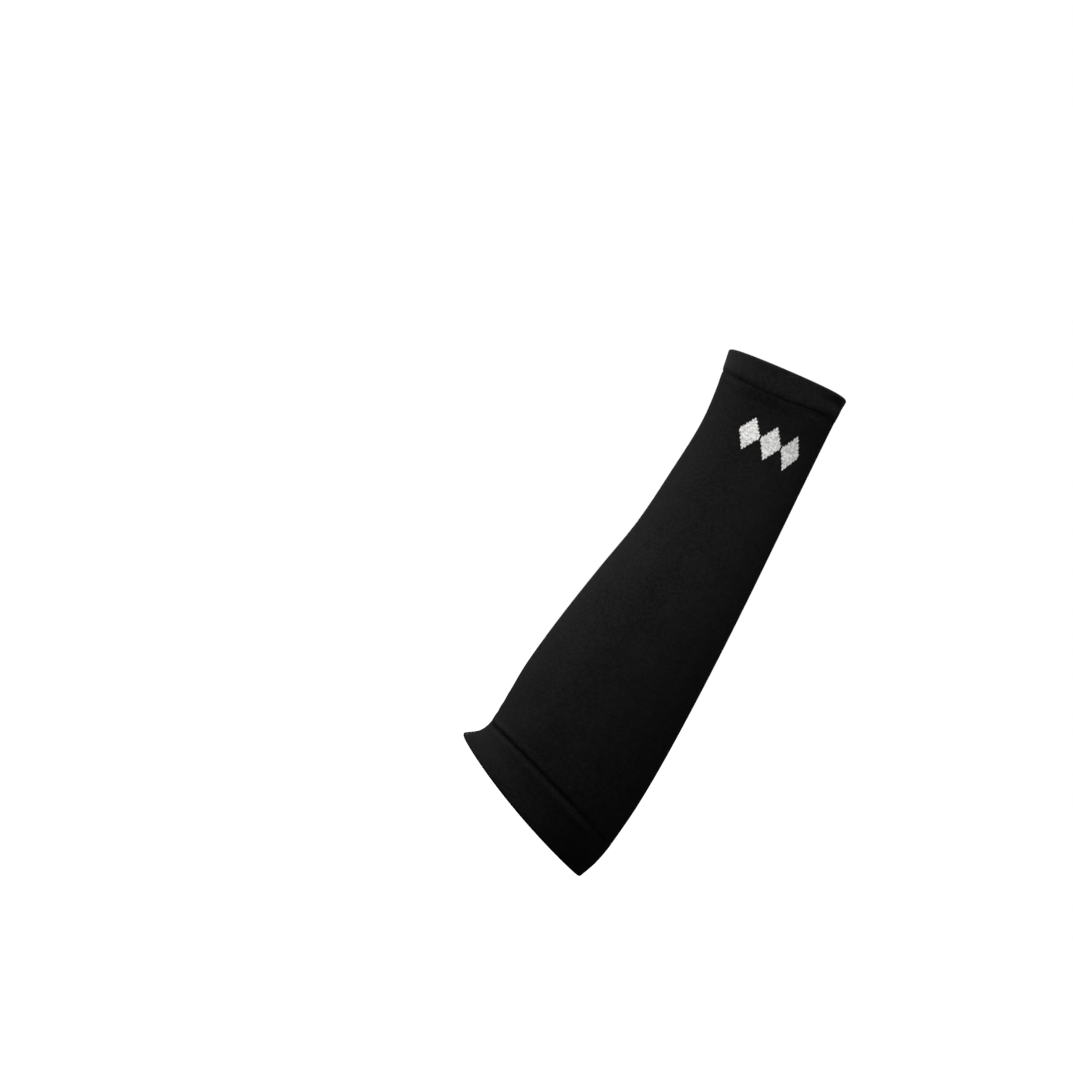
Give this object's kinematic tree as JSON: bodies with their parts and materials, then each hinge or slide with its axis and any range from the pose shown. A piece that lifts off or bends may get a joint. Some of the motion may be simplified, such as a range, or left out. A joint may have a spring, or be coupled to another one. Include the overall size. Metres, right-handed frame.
{
  "type": "short arm sleeve",
  "caption": "Black seamless-knit compression sleeve in its worn shape: a tapering forearm tube, open at both ends, with a narrow turned welt at the wrist and a wider one at the elbow.",
  "frame": {"origin": "on the forearm's axis about halfway along the sleeve, where the worn sleeve is held by the arm inside it", "axes": "+Z along the forearm from elbow to wrist, +X to the ulnar (little-finger) side, +Y to the palm side, so -Y is the back of the forearm, which faces the camera"},
  "size_m": [0.0915, 0.0766, 0.2655],
  "materials": {
    "body_knit": "matt black fine jersey knit of nylon and elastane",
    "welt_knit": "smooth charcoal-black knit folded double"
  },
  "bodies": {
    "root": {"wrist_welt": "welt_knit", "sleeve_body": "body_knit", "elbow_welt": "welt_knit"}
  },
  "joints": []
}
